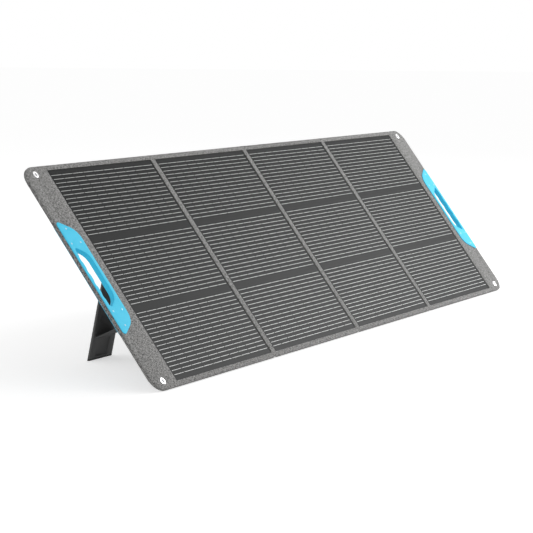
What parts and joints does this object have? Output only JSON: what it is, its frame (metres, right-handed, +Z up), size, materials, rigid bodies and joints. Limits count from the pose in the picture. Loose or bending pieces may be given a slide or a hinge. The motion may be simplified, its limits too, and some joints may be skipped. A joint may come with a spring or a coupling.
{
  "type": "folding solar panel",
  "caption": "Fabric-covered folding solar panel in hinged sections, leaning on fold-out legs, with clamp handles at both ends and corner eyelets.",
  "frame": {"origin": "centre of the footprint, on the ground", "axes": "+X along the panel's length, to the right seen from the front; the face looks towards -Y and up; +Z up"},
  "size_m": [2.158, 0.3998, 0.5047],
  "materials": {
    "heather_fabric": "woven heather grey polyester",
    "core_board": "stiff foamed board",
    "front_film": "textured clear film over black sheet",
    "solar_cell": "dark silicon",
    "backsheet": "black laminate",
    "tinned_copper": "tinned",
    "handle_plastic": "moulded sky blue",
    "plated_steel": "zinc plated",
    "eyelet_metal": "bright",
    "leg_plastic": "charcoal, fine grain",
    "black_rubber": "matte",
    "strap_web": "woven web",
    "box_plastic": "moulded black",
    "circuit_card": "green solder mask",
    "diode_case": "moulded"
  },
  "bodies": {
    "left_inner": {"left_inner_back_cover": "heather_fabric", "left_inner_backsheet": "backsheet", "left_inner_bus_ribbons": "tinned_copper", "left_inner_cells": "solar_cell", "left_inner_core_board": "core_board", "left_inner_front_fabric": "heather_fabric", "left_inner_front_film": "front_film"},
    "left_outer": {"left_eyelets": "eyelet_metal", "left_handle_back": "handle_plastic", "left_handle_front": "handle_plastic", "left_handle_screws": "plated_steel", "left_hinge_base": "leg_plastic", "left_hinge_pin": "plated_steel", "left_hinge_rivets": "plated_steel", "left_outer_back_cover": "heather_fabric", "left_outer_backsheet": "backsheet", "left_outer_bus_ribbons": "tinned_copper", "left_outer_cells": "solar_cell", "left_outer_core_board": "core_board", "left_outer_front_fabric": "heather_fabric", "left_outer_front_film": "front_film", "left_strap": "strap_web", "left_strap_back_bar": "leg_plastic"},
    "spine": {"spine_strip": "heather_fabric"},
    "right_inner": {"right_inner_back_cover": "heather_fabric", "right_inner_backsheet": "backsheet", "right_inner_bus_ribbons": "tinned_copper", "right_inner_cells": "solar_cell", "right_inner_core_board": "core_board", "right_inner_front_fabric": "heather_fabric", "right_inner_front_film": "front_film"},
    "right_outer": {"bypass_diodes": "diode_case", "diode_card": "circuit_card", "junction_box_base": "box_plastic", "junction_box_lid": "box_plastic", "junction_box_screws": "plated_steel", "junction_box_seal": "black_rubber", "output_socket": "box_plastic", "right_eyelets": "eyelet_metal", "right_handle_back": "handle_plastic", "right_handle_front": "handle_plastic", "right_handle_screws": "plated_steel", "right_hinge_base": "leg_plastic", "right_hinge_pin": "plated_steel", "right_hinge_rivets": "plated_steel", "right_outer_back_cover": "heather_fabric", "right_outer_backsheet": "backsheet", "right_outer_bus_ribbons": "tinned_copper", "right_outer_cells": "solar_cell", "right_outer_core_board": "core_board", "right_outer_front_fabric": "heather_fabric", "right_outer_front_film": "front_film", "right_strap": "strap_web", "right_strap_back_bar": "leg_plastic"},
    "left_leg": {"left_leg_board": "leg_plastic", "left_leg_foot": "black_rubber", "left_strap_leg_bar": "leg_plastic"},
    "right_leg": {"right_leg_board": "leg_plastic", "right_leg_foot": "black_rubber", "right_strap_leg_bar": "leg_plastic"}
  },
  "joints": [
    {"name": "left_fold", "type": "hinge", "parent": "left_inner", "child": "left_outer", "pos_m": [-0.496, -0.01486, 0.25534], "axis": [0, 0.5962, 0.8028], "range_deg": [0, 180]},
    {"name": "spine_fold_left", "type": "hinge", "parent": "spine", "child": "left_inner", "pos_m": [-0.008, -0.01302, 0.25397], "axis": [0, -0.5962, -0.8028], "range_deg": [0, 90]},
    {"name": "spine_fold_right", "type": "hinge", "parent": "spine", "child": "right_inner", "pos_m": [0.008, -0.01302, 0.25397], "axis": [0, 0.5962, 0.8028], "range_deg": [0, 90]},
    {"name": "right_fold", "type": "hinge", "parent": "right_inner", "child": "right_outer", "pos_m": [0.496, -0.01486, 0.25534], "axis": [0, -0.5962, -0.8028], "range_deg": [0, 180]},
    {"name": "left_leg_hinge", "type": "hinge", "parent": "left_outer", "child": "left_leg", "pos_m": [-0.707, 0.10928, 0.39483], "axis": [-1, 0, 0], "range_deg": [0, 49.1], "deforming": ["left_strap"]},
    {"name": "right_leg_hinge", "type": "hinge", "parent": "right_outer", "child": "right_leg", "pos_m": [0.707, 0.10928, 0.39483], "axis": [-1, 0, 0], "range_deg": [0, 49.1], "deforming": ["right_strap"]}
  ],
  "couplings": [
    {"joint": "spine_fold_right", "follows": "spine_fold_left", "ratio": 1},
    {"joint": "left_fold", "follows": "spine_fold_left", "ratio": 2},
    {"joint": "right_fold", "follows": "spine_fold_left", "ratio": 2}
  ]
}
